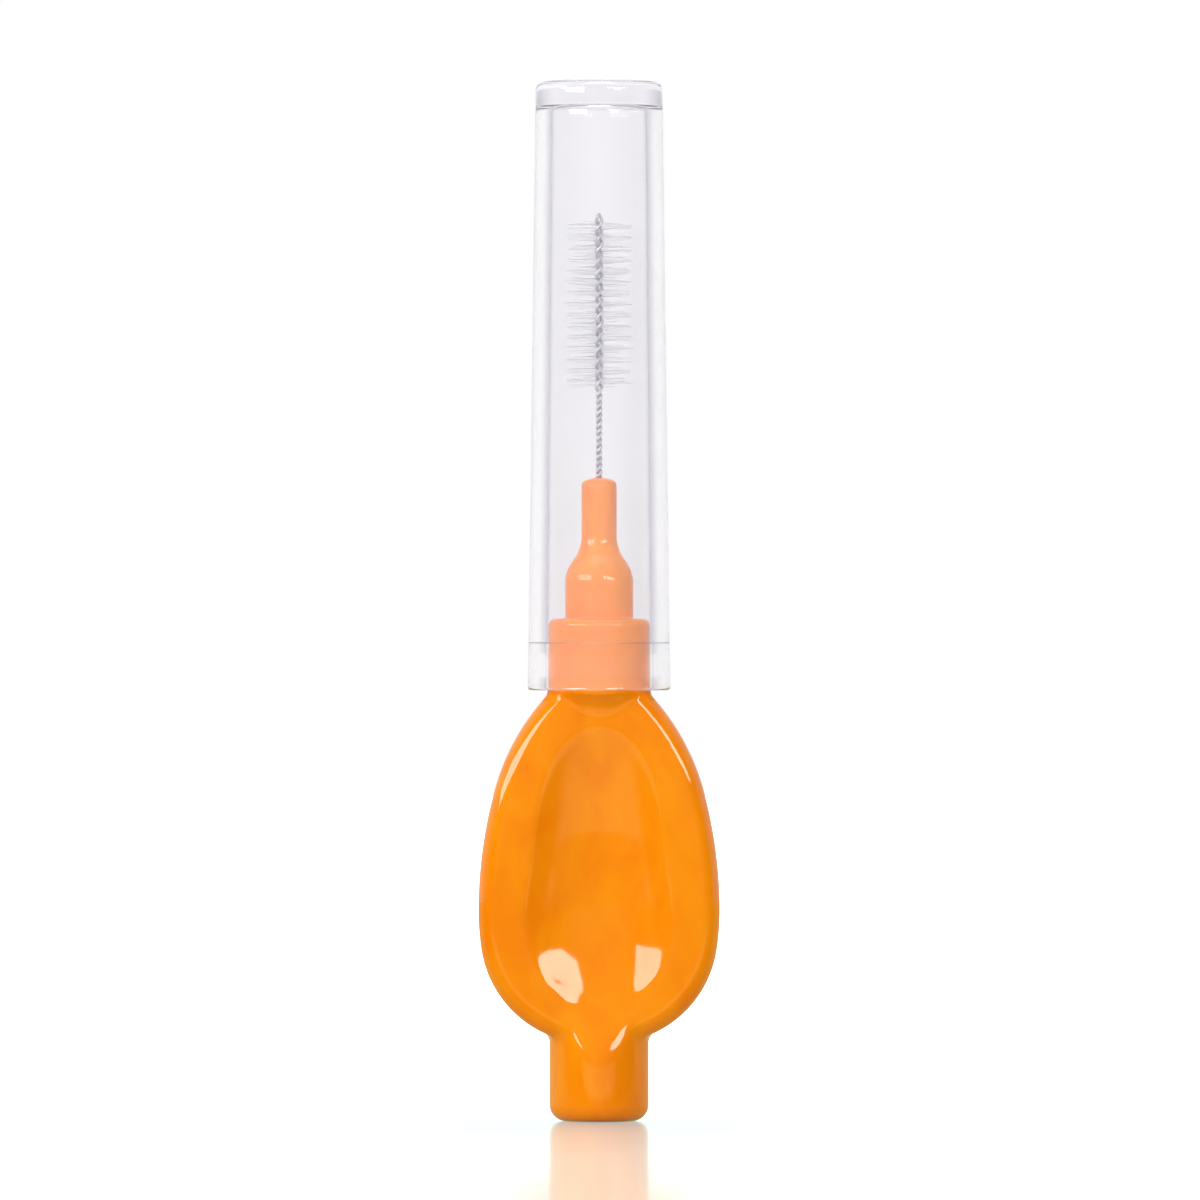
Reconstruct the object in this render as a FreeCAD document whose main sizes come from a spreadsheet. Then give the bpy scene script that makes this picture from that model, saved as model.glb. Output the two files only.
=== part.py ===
"""Interdental brush with its travel cap.

One moulding makes the handle: a round post at the foot, a paddle with a thumb
dish on each face, a round collar and a bottle-shaped nose. A stem of one wire,
bent double at the tip and twisted, is anchored in the nose and holds rows of
filaments between its two legs. A clear cap is pushed over the collar.

The foot of the post stands on z = 0, the stem runs up +Z and the dishes face
-Y and +Y. Lengths are in millimetres and angles in degrees.
"""
import FreeCAD
import Part
import Sketcher
import math
import operator
import os
from types import SimpleNamespace

Vector = FreeCAD.Vector
UP = Vector(0, 0, 1)
LEFT = 1
RIGHT = -1

# Driving sizes, written once each.
SIZES = {
    # Bristles: filaments across the stem, one row for each half turn of the twist
    "bristle_diameter": 4.6,
    "bristle_rows": 15,
    "filament_diameter": 0.08,
    "filament_gap": 0.012,
    "filament_clearance": 0.025,
    # Stem: a lay ratio is the length of one full turn in wire diameters
    "wire_diameter": 0.22,
    "strand_gap": 0.02,
    "bare_lay_ratio": 3.8,
    "head_lay_ratio": 6.736,
    "anchor_length": 7.0,
    "bare_length": 6.0,
    "tip_length": 0.25,
    # Handle: post
    "post_length": 5.73,
    "post_slack": 0.09,
    "post_edge_radius": 1.1,
    "post_seat_gap": 0.06,
    "post_root": 1.0,
    "post_root_taper": 0.1,
    # Handle: paddle, with its lengths stacked from the post upwards
    "paddle_width": 16.08,
    "paddle_thickness": 5.0,
    "paddle_edge_radius": 1.2,
    "root_width": 3.0,
    "root_depth": 0.47,
    "belly_length": 8.37,
    "hip_drop": 2.65,
    "hip_inset": 0.2,
    "flank_length": 8.0,
    "shoulder_inset": 1.08,
    "shoulder_length": 6.37,
    # Handle: thumb dishes
    "web_thickness": 2.48,
    "dish_radius": 10.7,
    "dish_overrun": 0.25,
    "dish_lip_drop": 1.365,
    "dish_bottom_curve": 10.135,
    "dish_top_curve": 9.62,
    "dish_top_margin": 1.85,
    # Handle: collar and nose
    "throat_length": 2.6,
    "bristle_room": 1.1,
    "collar_length": 5.03,
    "collar_edge_radius": 0.5,
    "barrel_diameter": 4.58,
    "barrel_length": 2.3,
    "taper_length": 3.2,
    "neck_diameter": 2.36,
    "neck_length": 3.2,
    "neck_edge_radius": 0.45,
    "cone_diameter": 0.7,
    "cone_height": 0.22,
    "anchor_clearance": 0.02,
    "anchor_end_clearance": 0.15,
    # Cap
    "cap_rim_gap": 0.25,
    "cap_fit_clearance": 0.06,
    "cap_lead_clearance": 0.16,
    "cap_lead_depth": 3.15,
    "cap_wall": 1.2,
    "cap_outer_draft": 0.75,
    "cap_bore_draft": 0.54,
    "cap_rim_radius": 0.2,
    "cap_corner_radius": 0.6,
    "cap_bore_corner": 0.4,
    "cap_tip_room": 7.17,
    "cap_end_wall": 1.6,
}

OPERATIONS = {
    "+": operator.add,
    "-": operator.sub,
    "*": operator.mul,
    "/": operator.truediv,
}


class Size:
    """A number together with the sheet expression that gives it."""

    def __init__(self, number, text):
        self.number = number
        self.text = text

    def __add__(self, other):
        return combine(self, "+", other)

    def __sub__(self, other):
        return combine(self, "-", other)

    def __mul__(self, other):
        return combine(self, "*", other)

    def __truediv__(self, other):
        return combine(self, "/", other)

    def __neg__(self):
        return Size(-self.number, f"(-{self.text})")


def as_size(item):
    """A plain number as a size of its own, and a size as it is."""
    return item if isinstance(item, Size) else Size(item, repr(item))


def combine(left, sign, right):
    """Two sizes joined by an arithmetic sign, in number and in text."""
    left = as_size(left)
    right = as_size(right)
    number = OPERATIONS[sign](left.number, right.number)
    return Size(number, f"({left.text} {sign} {right.text})")


def slope(angle):
    """Sideways run for each unit of length at a draft angle in degrees."""
    return Size(math.tan(math.radians(angle.number)), f"tan({angle.text})")


def make_sheet(doc):
    """The spreadsheet of driving sizes, and each size by its name."""
    sheet = doc.addObject("Spreadsheet::Sheet", "Sizes")
    for row, (name, number) in enumerate(SIZES.items(), start=1):
        sheet.set(f"A{row}", name.replace("_", " "))
        sheet.set(f"B{row}", str(number))
        sheet.setAlias(f"B{row}", name)
    doc.recompute()
    return SimpleNamespace(
        **{name: Size(float(getattr(sheet, name)), f"Sizes.{name}") for name in SIZES}
    )


def work_out(size):
    """Radii and heights that several pieces share."""
    at = SimpleNamespace()
    # Radii
    at.collar = size.bristle_diameter / 2 + size.bristle_room
    at.post = at.collar - size.post_slack
    at.bare_helix = size.wire_diameter / 2 + size.strand_gap / 2
    at.head_helix = size.wire_diameter / 2 + size.filament_diameter / 2 + size.filament_clearance
    at.anchor = at.bare_helix + size.wire_diameter / 2 + size.anchor_clearance
    at.cap_bore = at.collar + size.cap_fit_clearance
    at.cap_lead = at.collar + size.cap_lead_clearance
    at.cap_outer = at.cap_lead + size.cap_wall
    # Twist
    at.bare_pitch = size.wire_diameter * size.bare_lay_ratio
    at.head_pitch = size.wire_diameter * size.head_lay_ratio
    at.row_height = at.head_pitch / 2
    # Heights from the foot of the post
    at.paddle_root = size.post_length - size.root_depth
    at.post_seat = at.paddle_root - size.post_seat_gap
    at.widest = size.post_length + size.belly_length
    at.shoulder = at.widest + size.flank_length
    at.paddle_top = at.shoulder + size.shoulder_length
    at.collar_top = at.paddle_top + size.collar_length
    at.barrel_top = at.collar_top + size.barrel_length
    at.neck_bottom = at.barrel_top + size.taper_length
    at.neck_top = at.neck_bottom + size.neck_length
    at.nose_top = at.neck_top + size.neck_edge_radius + size.cone_height
    at.anchor_end = at.nose_top - size.anchor_length
    at.head_bottom = at.nose_top + size.bare_length
    at.head_top = at.head_bottom + at.row_height * size.bristle_rows
    at.bend = at.head_top + size.tip_length
    at.tip = at.bend + at.head_helix + size.wire_diameter / 2
    at.cap_rim = at.paddle_top + size.cap_rim_gap
    at.cap_step = at.cap_rim + size.cap_lead_depth
    at.cap_inner_end = at.tip + size.cap_tip_room
    at.cap_top = at.cap_inner_end + size.cap_end_wall
    return at


def new_body(doc, label):
    """An empty body whose label names the piece."""
    body = doc.addObject("PartDesign::Body", label)
    body.Label = label
    return body


def origin_plane(body, role):
    """One of the body's own origin planes."""
    return next(item for item in body.Origin.OriginFeatures if item.Role == role)


def new_sketch(body, name, role):
    """An empty sketch on one of the body's origin planes."""
    sketch = body.newObject("Sketcher::SketchObject", name)
    sketch.AttachmentSupport = [(origin_plane(body, role), "")]
    sketch.MapMode = "FlatFace"
    return sketch


def dimension(sketch, size, kind, *places):
    """A dimension in a sketch, tied to its size on the sheet."""
    size = as_size(size)
    index = sketch.addConstraint(Sketcher.Constraint(kind, *places, size.number))
    sketch.setExpression(f"Constraints[{index}]", size.text)


def hold(sketch, run, end, corner):
    """Places one end of a line or arc, across and up from the sketch's origin."""
    dimension(sketch, corner[0], "DistanceX", -1, 1, run, end)
    dimension(sketch, corner[1], "DistanceY", -1, 1, run, end)


def flat(corner):
    """A corner's numbers as a point of the sketch."""
    return Vector(as_size(corner[0]).number, as_size(corner[1]).number, 0)


def arc_about(centre, start, end, turn):
    """The arc from start to end that turns left or right about a centre."""
    first, last = (start, end) if turn == LEFT else (end, start)
    circle = Part.Circle(centre, UP, (start - centre).Length)
    begin = math.atan2(first.y - centre.y, first.x - centre.x)
    finish = math.atan2(last.y - centre.y, last.x - centre.x)
    if finish < begin:
        finish += 2 * math.pi
    return Part.ArcOfCircle(circle, begin, finish)


def arc_of_radius(start, end, radius, turn):
    """The arc of a given radius from start to end, less than half a circle."""
    chord = end - start
    height = math.sqrt(radius ** 2 - chord.Length ** 2 / 4)
    centre = (start + end) * 0.5 + UP.cross(chord).normalize() * (turn * height)
    return arc_about(centre, start, end, turn)


def ends_of(turn):
    """Which end of a sketched arc comes first along the outline: arcs run to the left."""
    return (1, 2) if turn == LEFT else (2, 1)


def draw_profile(sketch, corners):
    """A closed profile with every corner held by its sizes.

    A corner is (across, up) where a straight run follows, or (across, up, radius, turn)
    where an arc follows.
    """
    runs = []
    for corner, following in zip(corners, corners[1:] + corners[:1]):
        start = flat(corner)
        end = flat(following)
        if len(corner) == 2:
            runs.append((sketch.addGeometry(Part.LineSegment(start, end)), 1, 2))
        else:
            radius, turn = corner[2:]
            arc = sketch.addGeometry(arc_of_radius(start, end, radius.number, turn))
            dimension(sketch, radius, "Radius", arc)
            runs.append((arc, *ends_of(turn)))
    for index, corner in enumerate(corners):
        run, first, _ = runs[index]
        before, _, last = runs[index - 1]
        sketch.addConstraint(Sketcher.Constraint("Coincident", before, last, run, first))
        hold(sketch, run, first, corner)


def revolve(body, sketch, name):
    """A full turn of a sketch about its upright axis."""
    feature = body.newObject("PartDesign::Revolution", name)
    feature.Profile = sketch
    feature.ReferenceAxis = (sketch, ["V_Axis"])
    feature.Angle = 360
    return feature


def mirror(body, features, name, role):
    """The same features again on the other side of an origin plane."""
    feature = body.newObject("PartDesign::Mirrored", name)
    feature.Originals = features
    feature.MirrorPlane = (origin_plane(body, role), [""])
    body.Tip = feature
    return feature


def round_edges(doc, body, name, radius, wanted):
    """A fillet on the edges of the body's last feature that a test picks out."""
    doc.recompute()
    base = body.Tip
    edges = [f"Edge{n}" for n, edge in enumerate(base.Shape.Edges, start=1) if wanted(edge)]
    feature = body.newObject("PartDesign::Fillet", name)
    feature.Base = (base, edges)
    feature.setExpression("Radius", radius.text)
    return feature


def draw_side(sketch, widest, middle, end):
    """Two tangent arcs of the paddle's side: upright at the widest place, then on to the end."""
    start = flat(widest)
    joint = flat(middle)
    inset = start.x - joint.x
    rise = joint.y - start.y
    radius = (inset ** 2 + rise ** 2) / (2 * inset)
    centre = start - Vector(radius, 0, 0)
    turn = LEFT if rise > 0 else RIGHT
    first = sketch.addGeometry(arc_about(centre, start, joint, turn))
    first_start, first_end = ends_of(turn)

    # The second arc's centre lies on the line through the joint and the first centre.
    inward = (centre - joint).normalize()
    chord = flat(end) - joint
    reach = chord.dot(chord) / (2 * chord.dot(inward))
    second_turn = turn if reach > 0 else -turn
    second = sketch.addGeometry(arc_about(joint + inward * reach, joint, flat(end), second_turn))
    second_start, second_end = ends_of(second_turn)

    sketch.addConstraint(Sketcher.Constraint("Horizontal", first, 3, first, first_start))
    sketch.addConstraint(Sketcher.Constraint("Tangent", first, first_end, second, second_start))
    hold(sketch, first, first_end, middle)
    hold(sketch, second, second_end, end)
    return (first, first_start), (second, second_end)


def draw_paddle(sketch, size, at):
    """Half of the paddle's outline, closed along the handle's axis, with its root inside the post."""
    half_width = size.paddle_width / 2
    widest = (half_width, at.widest)
    shoulder = (half_width - size.shoulder_inset, at.shoulder)
    hip = (half_width - size.hip_inset, at.widest - size.hip_drop)
    upper_end = (at.collar, at.paddle_top)
    lower_end = (size.root_width / 2, at.paddle_root)
    upper_axis = (0, at.paddle_top)
    lower_axis = (0, at.paddle_root)

    upper_start, top = draw_side(sketch, widest, shoulder, upper_end)
    lower_start, foot = draw_side(sketch, widest, hip, lower_end)
    sketch.addConstraint(Sketcher.Constraint("Coincident", *upper_start, *lower_start))
    hold(sketch, *upper_start, widest)

    ledge = sketch.addGeometry(Part.LineSegment(flat(upper_end), flat(upper_axis)))
    axis = sketch.addGeometry(Part.LineSegment(flat(upper_axis), flat(lower_axis)))
    sole = sketch.addGeometry(Part.LineSegment(flat(lower_axis), flat(lower_end)))
    sketch.addConstraint(Sketcher.Constraint("Coincident", *top, ledge, 1))
    sketch.addConstraint(Sketcher.Constraint("Coincident", ledge, 2, axis, 1))
    sketch.addConstraint(Sketcher.Constraint("Coincident", axis, 2, sole, 1))
    sketch.addConstraint(Sketcher.Constraint("Coincident", sole, 2, *foot))
    hold(sketch, axis, 1, upper_axis)
    hold(sketch, axis, 2, lower_axis)


def make_handle(doc, size, at):
    """The one-piece handle: paddle, post, collar and nose, then the two dishes."""
    body = new_body(doc, "handle")

    outline = new_sketch(body, "PaddleOutline", "XZ_Plane")
    draw_paddle(outline, size, at)
    paddle = body.newObject("PartDesign::Pad", "Paddle")
    paddle.Profile = outline
    paddle.Midplane = True
    paddle.setExpression("Length", size.paddle_thickness.text)
    mirror(body, [paddle], "PaddleOtherHalf", "YZ_Plane")

    def around_face(edge):
        """Picks the edges that run round the front and back faces."""
        box = edge.BoundBox
        return box.YLength < 1e-4 and abs(abs(box.Center.y) - size.paddle_thickness.number / 2) < 1e-4

    round_edges(doc, body, "PaddleEdges", size.paddle_edge_radius, around_face)

    # The post is a true cylinder up to where a parked cap stops, then tapers into the paddle.
    post = new_sketch(body, "PostProfile", "XZ_Plane")
    post_top = size.post_length + size.post_root
    draw_profile(post, [
        (0, 0),
        (at.post - size.post_edge_radius, 0, size.post_edge_radius, LEFT),
        (at.post, size.post_edge_radius),
        (at.post, at.post_seat),
        (at.post - size.post_root_taper, post_top),
        (0, post_top),
    ])
    revolve(body, post, "Post")

    nose = new_sketch(body, "NoseProfile", "XZ_Plane")
    draw_profile(nose, nose_corners(size, at))
    revolve(body, nose, "Nose")
    doc.recompute()
    solid_volume = body.Shape.Volume

    dish = cut_dish(body, size, at)
    mirror(body, [dish], "DishOtherFace", "XZ_Plane")
    doc.recompute()
    print(f"dishes take {solid_volume - body.Shape.Volume:.1f} mm3 of {solid_volume:.1f} mm3")
    return body


def nose_corners(size, at):
    """Profile of the throat, collar and nose, with the blind hole that holds the stem."""
    throat_bottom = at.paddle_top - size.throat_length
    barrel = size.barrel_diameter / 2
    neck = size.neck_diameter / 2
    # The taper is two equal arcs, upright at both ends.
    step = barrel - neck
    taper_radius = (step * step + size.taper_length * size.taper_length) / (step * 4)
    hole_bottom = at.anchor_end - size.anchor_end_clearance
    return [
        (0, throat_bottom),
        (size.web_thickness / 2, throat_bottom),
        (at.collar, at.paddle_top),
        (at.collar, at.collar_top - size.collar_edge_radius, size.collar_edge_radius, LEFT),
        (at.collar - size.collar_edge_radius, at.collar_top),
        (barrel, at.collar_top),
        (barrel, at.barrel_top, taper_radius, LEFT),
        ((barrel + neck) / 2, at.barrel_top + size.taper_length / 2, taper_radius, RIGHT),
        (neck, at.neck_bottom),
        (neck, at.neck_top, size.neck_edge_radius, LEFT),
        (neck - size.neck_edge_radius, at.neck_top + size.neck_edge_radius),
        (size.cone_diameter / 2, at.nose_top),
        (at.anchor, at.nose_top),
        (at.anchor, hole_bottom),
        (0, hole_bottom),
    ]


def cut_dish(body, size, at):
    """The front dish: a barrel-shaped cut about an upright axis in front of the paddle.

    Its profile runs out past the paddle's face at the top and past the post at the lip.
    """
    sketch = new_sketch(body, "DishProfile", "YZ_Plane")
    face = -size.paddle_thickness / 2 - size.dish_overrun
    deep = -size.web_thickness / 2
    axis = deep - size.dish_radius
    lip = -at.post - size.dish_overrun
    lip_height = size.post_length - size.dish_lip_drop
    deep_bottom = lip_height + size.dish_bottom_curve
    top = at.paddle_top - size.dish_top_margin
    deep_top = top - size.dish_top_curve

    def curve_radius(drop, length):
        """Radius of an arc that starts upright and falls away by drop over length."""
        return (drop * drop + length * length) / (drop * 2)

    draw_profile(sketch, [
        (axis, lip_height),
        (lip, lip_height, curve_radius(deep - lip, size.dish_bottom_curve), LEFT),
        (deep, deep_bottom),
        (deep, deep_top, curve_radius(deep - face, size.dish_top_curve), LEFT),
        (face, top),
        (axis, top),
    ])
    spindle = sketch.addGeometry(
        Part.LineSegment(flat((axis, lip_height)), flat((axis, top))), True
    )
    hold(sketch, spindle, 1, (axis, lip_height))
    hold(sketch, spindle, 2, (axis, top))

    dish = body.newObject("PartDesign::Groove", "Dish")
    dish.Profile = sketch
    dish.ReferenceAxis = (sketch, ["Axis0"])
    dish.Angle = 360
    return dish


def make_cap(doc, size, at):
    """The drafted cap: closed at the top, with a wider mouth that leads it onto the collar."""
    body = new_body(doc, "cap")
    outer_top = at.cap_outer - (at.cap_top - at.cap_rim) * slope(size.cap_outer_draft)
    bore_end = at.cap_bore - (at.cap_inner_end - at.cap_step) * slope(size.cap_bore_draft)
    profile = new_sketch(body, "CapProfile", "XZ_Plane")
    draw_profile(profile, [
        (at.cap_lead, at.cap_rim),
        (at.cap_outer, at.cap_rim),
        (outer_top, at.cap_top),
        (0, at.cap_top),
        (0, at.cap_inner_end),
        (bore_end, at.cap_inner_end),
        (at.cap_bore, at.cap_step),
        (at.cap_lead, at.cap_step),
    ])
    revolve(body, profile, "CapShell")

    def ring_at(height):
        """Picks the round edges at one height."""
        def wanted(edge):
            box = edge.BoundBox
            return box.ZLength < 1e-4 and abs(box.Center.z - height.number) < 1e-4
        return wanted

    round_edges(doc, body, "CapCrown", size.cap_corner_radius, ring_at(at.cap_top))
    round_edges(doc, body, "CapBoreEnd", size.cap_bore_corner, ring_at(at.cap_inner_end))
    round_edges(doc, body, "CapRim", size.cap_rim_radius, ring_at(at.cap_rim))
    return body


def arc_leaving(start, way, end):
    """The arc in space that leaves start along a unit direction and reaches end."""
    chord = end - start
    lean = way + chord.normalize()
    length = (end - start).Length
    return Part.Arc(start, start + lean * (length / lean.dot(lean)), end)


def biarc(start, start_way, end, end_way):
    """Two tangent arcs in space between two points with given directions."""
    chord = end - start
    bend = 2 * (1 - start_way.dot(end_way))
    along = chord.dot(start_way + end_way)
    reach = (math.sqrt(along ** 2 + bend * chord.dot(chord)) - along) / bend
    middle = (start + start_way * reach + end - end_way * reach) * 0.5
    middle_way = (end - end_way * reach - start - start_way * reach).normalize()
    return [arc_leaving(start, start_way, middle), arc_leaving(middle, middle_way, end)]


def leg_stations(size, at):
    """Heights, helix radii, angles and twist rates at each quarter turn of one leg, from the anchor up.

    The twist opens from the bare lay to the head lay over the quarter turn below the bristles,
    and dies away above them. The angle is zero where the bristles start.
    """
    bare_rate = 2 * math.pi / at.bare_pitch.number
    head_rate = 2 * math.pi / at.head_pitch.number
    quarter = math.pi / 2
    bare_top = at.head_bottom.number - at.head_pitch.number / 4
    bare_step = at.bare_pitch.number / 4
    bare_count = int((bare_top - at.anchor_end.number) / bare_step)
    stations = []
    for index in range(bare_count, 0, -1):
        height = bare_top - index * bare_step
        stations.append((height, at.bare_helix.number, -(index + 1) * quarter, bare_rate))
    stations.append((bare_top, at.bare_helix.number, -quarter, (bare_rate + head_rate) / 2))
    for index in range(2 * int(size.bristle_rows.number) + 1):
        height = at.head_bottom.number + index * at.head_pitch.number / 4
        stations.append((height, at.head_helix.number, index * quarter, head_rate))
    end_angle = stations[-1][2] + head_rate * size.tip_length.number / 2
    stations.append((at.bend.number, at.head_helix.number, end_angle, 0.0))
    return stations


def make_wire(doc, size, at):
    """The stem: up one leg, round the bend at the tip and down the other leg."""
    stations = leg_stations(size, at)

    def leg(half_turn):
        """Points and upward directions of the leg that starts a half turn round."""
        places = []
        for height, radius, angle, rate in stations:
            side = Vector(math.cos(angle + half_turn), math.sin(angle + half_turn), 0)
            way = (UP + UP.cross(side) * (radius * rate)).normalize()
            places.append((side * radius + UP * height, way))
        return places

    rising = leg(0.0)
    falling = [(point, -way) for point, way in reversed(leg(math.pi))]
    arcs = []
    for (start, start_way), (end, end_way) in zip(rising, rising[1:]):
        arcs += biarc(start, start_way, end, end_way)
    arcs.append(Part.Arc(rising[-1][0], UP * (at.bend + at.head_helix).number, falling[0][0]))
    for (start, start_way), (end, end_way) in zip(falling, falling[1:]):
        arcs += biarc(start, start_way, end, end_way)

    edges = [arc.toShape() for arc in arcs]
    path = Part.Wire(edges)
    radius = size.wire_diameter.number / 2
    section = Part.Wire([Part.Circle(*rising[0], radius).toShape()])
    stem = path.makePipeShell([section], True, False)
    expected = math.pi * radius ** 2 * path.Length
    print(f"stem volume {stem.Volume:.4f} mm3, section times length {expected:.4f} mm3")
    print(f"stem bends no tighter than {min(edge.Curve.Radius for edge in edges):.3f} mm")

    piece = doc.addObject("Part::Feature", "twisted_wire")
    piece.Label = "twisted_wire"
    piece.Shape = stem
    piece.Placement = FreeCAD.Placement()
    return piece


def make_bristle_row(doc, size, at, row):
    """One row: straight filaments that cross the stem between its legs and turn with the twist."""
    pitch = size.filament_diameter.number + size.filament_gap.number
    count = int(at.row_height.number / pitch)
    rate = 360 / at.head_pitch.number
    filaments = []
    for index in range(count):
        rise = at.row_height.number * (row + (index + 0.5) / count)
        height = at.head_bottom.number + rise
        across = FreeCAD.Rotation(UP, rate * rise) * FreeCAD.Rotation(Vector(1, 0, 0), 90)
        filament = doc.addObject("Part::Cylinder", f"Filament{row + 1:02d}n{index + 1:02d}")
        filament.setExpression("Radius", (size.filament_diameter / 2).text)
        filament.setExpression("Height", size.bristle_diameter.text)
        middle = across.multVec(UP) * (size.bristle_diameter.number / 2)
        filament.Placement = FreeCAD.Placement(UP * height - middle, across)
        filaments.append(filament)
    piece = doc.addObject("Part::Compound", f"bristle_row_{row + 1:02d}")
    piece.Label = f"bristle_row_{row + 1:02d}"
    piece.Links = filaments
    return piece


def check(doc, pieces):
    """Stops with the names of whatever failed to build."""
    failed = [item.Name for item in doc.Objects if {"Invalid", "Error"} & set(item.State)]
    for piece in pieces:
        if piece.Shape.isNull() or not piece.Shape.isValid():
            failed.append(piece.Label)
    if failed:
        raise RuntimeError(f"not built: {', '.join(failed)}")


def main():
    doc = FreeCAD.newDocument("InterdentalBrush")
    size = make_sheet(doc)
    at = work_out(size)
    pieces = [make_handle(doc, size, at), make_wire(doc, size, at), make_cap(doc, size, at)]
    for row in range(int(size.bristle_rows.number)):
        pieces.append(make_bristle_row(doc, size, at, row))
    doc.recompute()
    check(doc, pieces)
    os.makedirs("parts", exist_ok=True)
    for piece in pieces:
        piece.Shape.exportStep(os.path.join("parts", f"{piece.Label}.step"))
    print(f"{len(pieces)} pieces, {at.cap_top.number:.2f} mm tall")


main()
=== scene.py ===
"""Looks of an interdental brush with its travel cap, on the frame of its solids.

The handle is skinned over a smooth rule, the cap is turned from a profile, and
Geometry Nodes twist the wire and set the bristles. Object space is in metres,
with +Z up the brush and its foot on z = 0.
"""
import math
from functools import partialmethod
from types import SimpleNamespace

import bpy
import numpy as np
from bpy.props import FloatProperty, FloatVectorProperty, IntProperty, PointerProperty
from bpy.types import Operator, Panel, PropertyGroup
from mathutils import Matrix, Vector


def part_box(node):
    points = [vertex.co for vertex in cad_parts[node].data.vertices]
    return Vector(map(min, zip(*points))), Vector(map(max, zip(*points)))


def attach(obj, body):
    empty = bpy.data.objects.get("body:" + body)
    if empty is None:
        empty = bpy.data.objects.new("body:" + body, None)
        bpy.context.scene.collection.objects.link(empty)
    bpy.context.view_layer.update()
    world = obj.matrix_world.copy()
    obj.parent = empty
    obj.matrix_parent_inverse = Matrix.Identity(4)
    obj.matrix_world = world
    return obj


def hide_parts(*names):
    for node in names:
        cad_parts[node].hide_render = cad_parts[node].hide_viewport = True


bl_info = {
    "name": "Interdental brush",
    "version": (1, 0, 0),
    "blender": (4, 5, 0),
    "location": "3D View > Sidebar > Brush",
    "description": "Makes an interdental brush with a clear travel cap",
    "category": "Object",
}

MM = 0.001

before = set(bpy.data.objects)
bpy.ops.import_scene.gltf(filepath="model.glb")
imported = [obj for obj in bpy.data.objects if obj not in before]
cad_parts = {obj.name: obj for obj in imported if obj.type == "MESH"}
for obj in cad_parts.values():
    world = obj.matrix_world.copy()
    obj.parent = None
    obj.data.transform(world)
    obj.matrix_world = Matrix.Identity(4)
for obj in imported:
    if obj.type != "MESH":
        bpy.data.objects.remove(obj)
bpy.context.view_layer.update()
ROWS = sorted(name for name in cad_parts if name.startswith("bristle_row"))
HANDLE_LOW, HANDLE_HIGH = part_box("handle")
WIRE_LOW, WIRE_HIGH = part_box("twisted_wire")
CAP_LOW, CAP_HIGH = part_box("cap")


def plain(name, default, description, **kind):
    """A number with the unit or the limits of its kind."""
    return FloatProperty(name=name, description=description, default=default, **kind)


def length(name, millimetres, description):
    """A size in metres, given in millimetres."""
    return plain(name, millimetres * MM, description, unit="LENGTH", precision=5)


def height(name, millimetres, description):
    """A height above the foot of the handle."""
    return length(name, millimetres, description + ", above the foot")


def colour(name, red, green, blue, description):
    """A colour in linear light."""
    return FloatVectorProperty(
        name=name, description=description, default=(red, green, blue), subtype="COLOR",
        min=0.0, max=1.0,
    )


def share(name, default, description):
    """A number from 0 to 1."""
    return plain(name, default, description, min=0.0, max=1.0, subtype="FACTOR")


def level(name, default, description):
    """A number from 0 up."""
    return plain(name, default, description, min=0.0, subtype="UNSIGNED")


def degrees(name, angle, description):
    """An angle in radians, given in degrees."""
    return plain(name, math.radians(angle), description, subtype="ANGLE")


def whole(name, default, least, most, description):
    """A whole number."""
    return IntProperty(name=name, description=description, default=default, min=least, max=most)


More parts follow.
